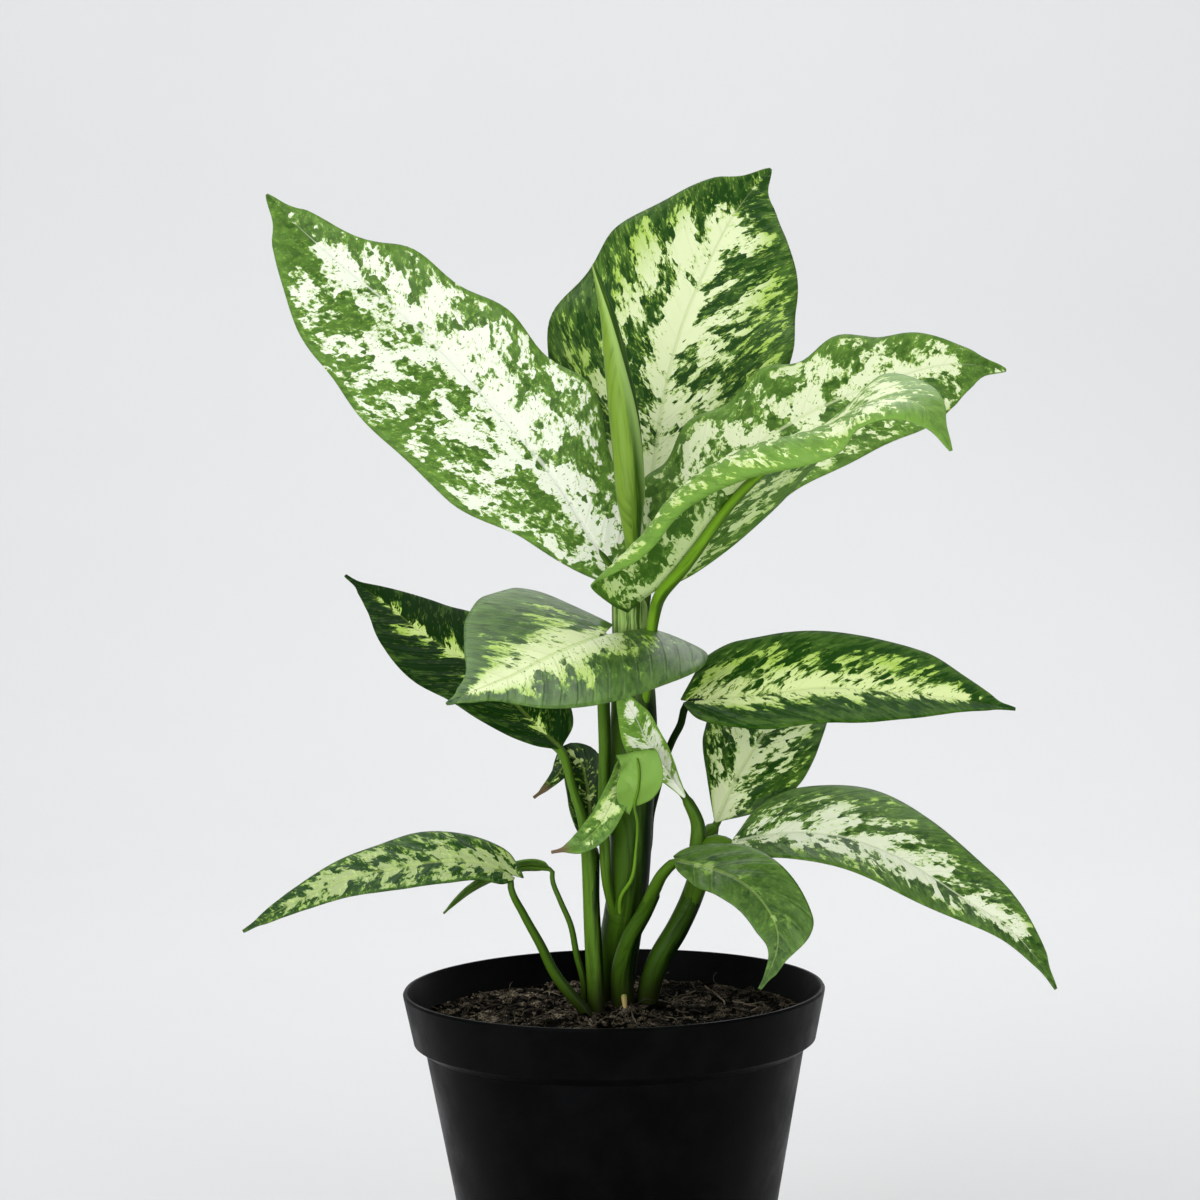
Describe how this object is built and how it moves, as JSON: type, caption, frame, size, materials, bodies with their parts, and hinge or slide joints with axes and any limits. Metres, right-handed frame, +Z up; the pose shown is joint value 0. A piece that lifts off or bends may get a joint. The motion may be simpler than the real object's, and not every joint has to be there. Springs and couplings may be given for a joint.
{
  "type": "potted dieffenbachia",
  "caption": "Young dumb cane houseplant: broad, waved cream-and-green variegated leaves on upright stems in a soil-filled black nursery pot.",
  "frame": {"origin": "centre of the pot's base, on the surface it stands on", "axes": "+Z up along the pot's axis; the pictured front faces -Y; +X is to the right in the picture"},
  "size_m": [0.2248, 0.161, 0.3394],
  "materials": {
    "pot_plastic": "satin black injection-moulded plastic, faint moulding ripple",
    "potting_soil": "rough, damp peat with fibres and crumbs",
    "green_stem": "smooth waxy green cane, paler streaks and leaf scars",
    "young_leaf": "satin, light yellow-green rolled leaf",
    "leaf_blade": "waxy satin, cream centre with green patches and a green margin"
  },
  "bodies": {
    "root": {"pot": "pot_plastic", "soil": "potting_soil", "stem_main": "green_stem", "shoot_left": "green_stem", "shoot_front": "green_stem", "shoot_right": "green_stem", "young_leaf_rolled": "young_leaf", "leaf_crown_left": "leaf_blade", "leaf_crown_back": "leaf_blade", "leaf_crown_right": "leaf_blade", "leaf_crown_front": "leaf_blade", "leaf_left_back": "leaf_blade", "leaf_front": "leaf_blade", "leaf_right": "leaf_blade", "leaf_right_up": "leaf_blade", "leaf_right_low": "leaf_blade", "leaf_front_low": "leaf_blade", "leaf_left_low": "leaf_blade", "leaf_left_thin": "leaf_blade", "leaf_shoot_pale": "leaf_blade", "leaf_curled": "leaf_blade", "leaf_left_tuft": "leaf_blade"}
  },
  "joints": []
}
